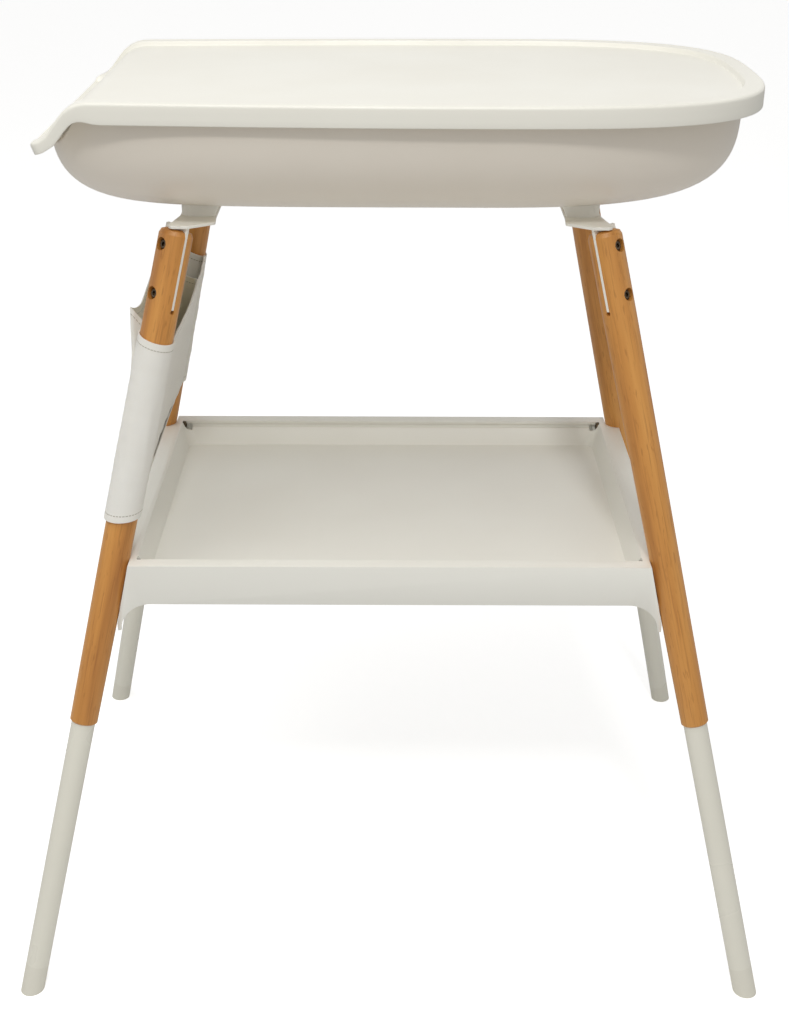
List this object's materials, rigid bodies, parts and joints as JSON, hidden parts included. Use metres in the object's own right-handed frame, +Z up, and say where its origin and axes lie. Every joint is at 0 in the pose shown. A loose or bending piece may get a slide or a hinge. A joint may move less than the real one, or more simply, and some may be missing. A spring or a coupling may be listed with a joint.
{
  "type": "changing table with bathtub",
  "caption": "Baby changing table: a hinged tray with an open lip over a deep bath on splayed wood-and-steel legs, with a shelf and a cloth side pouch.",
  "frame": {"origin": "on the floor, at the middle of the four feet", "axes": "+Z up, +X along the length away from the open lip, -Y the front, which faces the person using it"},
  "size_m": [0.8258, 0.6198, 0.956],
  "materials": {
    "beech": "turned solid beech, clear satin lacquer",
    "tube_paint": "white powder coat on steel tube",
    "foot_plastic": "moulded white end plug",
    "top_plastic": "moulded white plastic, satin",
    "tub_plastic": "moulded white plastic, satin",
    "shelf_plastic": "moulded white plastic, satin",
    "bracket_plastic": "cast metal, white powder coat",
    "bolt_steel": "dark zinc-plated steel",
    "hinge_steel": "brushed stainless steel",
    "stud_metal": "nickel-plated press stud",
    "seal_rubber": "soft moulded rubber",
    "plug_rubber": "white moulded rubber",
    "pouch_cloth": "off-white cotton canvas, hemmed"
  },
  "bodies": {
    "stand": {"bracket_left": "bracket_plastic", "bracket_right": "bracket_plastic", "bracket_screws": "bolt_steel", "drain_nut": "tub_plastic", "drain_outlet": "hinge_steel", "drain_seal": "seal_rubber", "drain_washer": "seal_rubber", "foot_cap_front_left": "foot_plastic", "foot_cap_front_right": "foot_plastic", "foot_cap_rear_left": "foot_plastic", "foot_cap_rear_right": "foot_plastic", "hinge_pin_left": "hinge_steel", "hinge_pin_right": "hinge_steel", "hinge_tub_leaf_left": "hinge_steel", "hinge_tub_leaf_right": "hinge_steel", "hinge_tub_screws": "hinge_steel", "leg_bolts": "bolt_steel", "leg_front_left": "beech", "leg_front_right": "beech", "leg_nuts": "bolt_steel", "leg_rear_left": "beech", "leg_rear_right": "beech", "leg_tube_front_left": "tube_paint", "leg_tube_front_right": "tube_paint", "leg_tube_rear_left": "tube_paint", "leg_tube_rear_right": "tube_paint", "pouch_bag": "pouch_cloth", "pouch_panel": "pouch_cloth", "pouch_sleeve_front": "pouch_cloth", "pouch_sleeve_rear": "pouch_cloth", "pouch_studs": "stud_metal", "shelf": "shelf_plastic", "shelf_bolts": "bolt_steel", "shelf_inserts": "bolt_steel", "top_stops": "seal_rubber", "tub": "tub_plastic"},
    "top": {"changing_top": "top_plastic", "hinge_top_leaf_left": "hinge_steel", "hinge_top_leaf_right": "hinge_steel", "hinge_top_screws": "hinge_steel"},
    "plug": {"drain_plug": "plug_rubber"}
  },
  "joints": [
    {"name": "top_hinge", "type": "hinge", "parent": "stand", "child": "top", "pos_m": [0, 0.207, 0.94], "axis": [-1, 0, 0], "range_deg": [0, 100]},
    {"name": "plug_lift", "type": "slide", "parent": "stand", "child": "plug", "axis": [0, 0, 1], "range_m": [0, 0.03]}
  ]
}
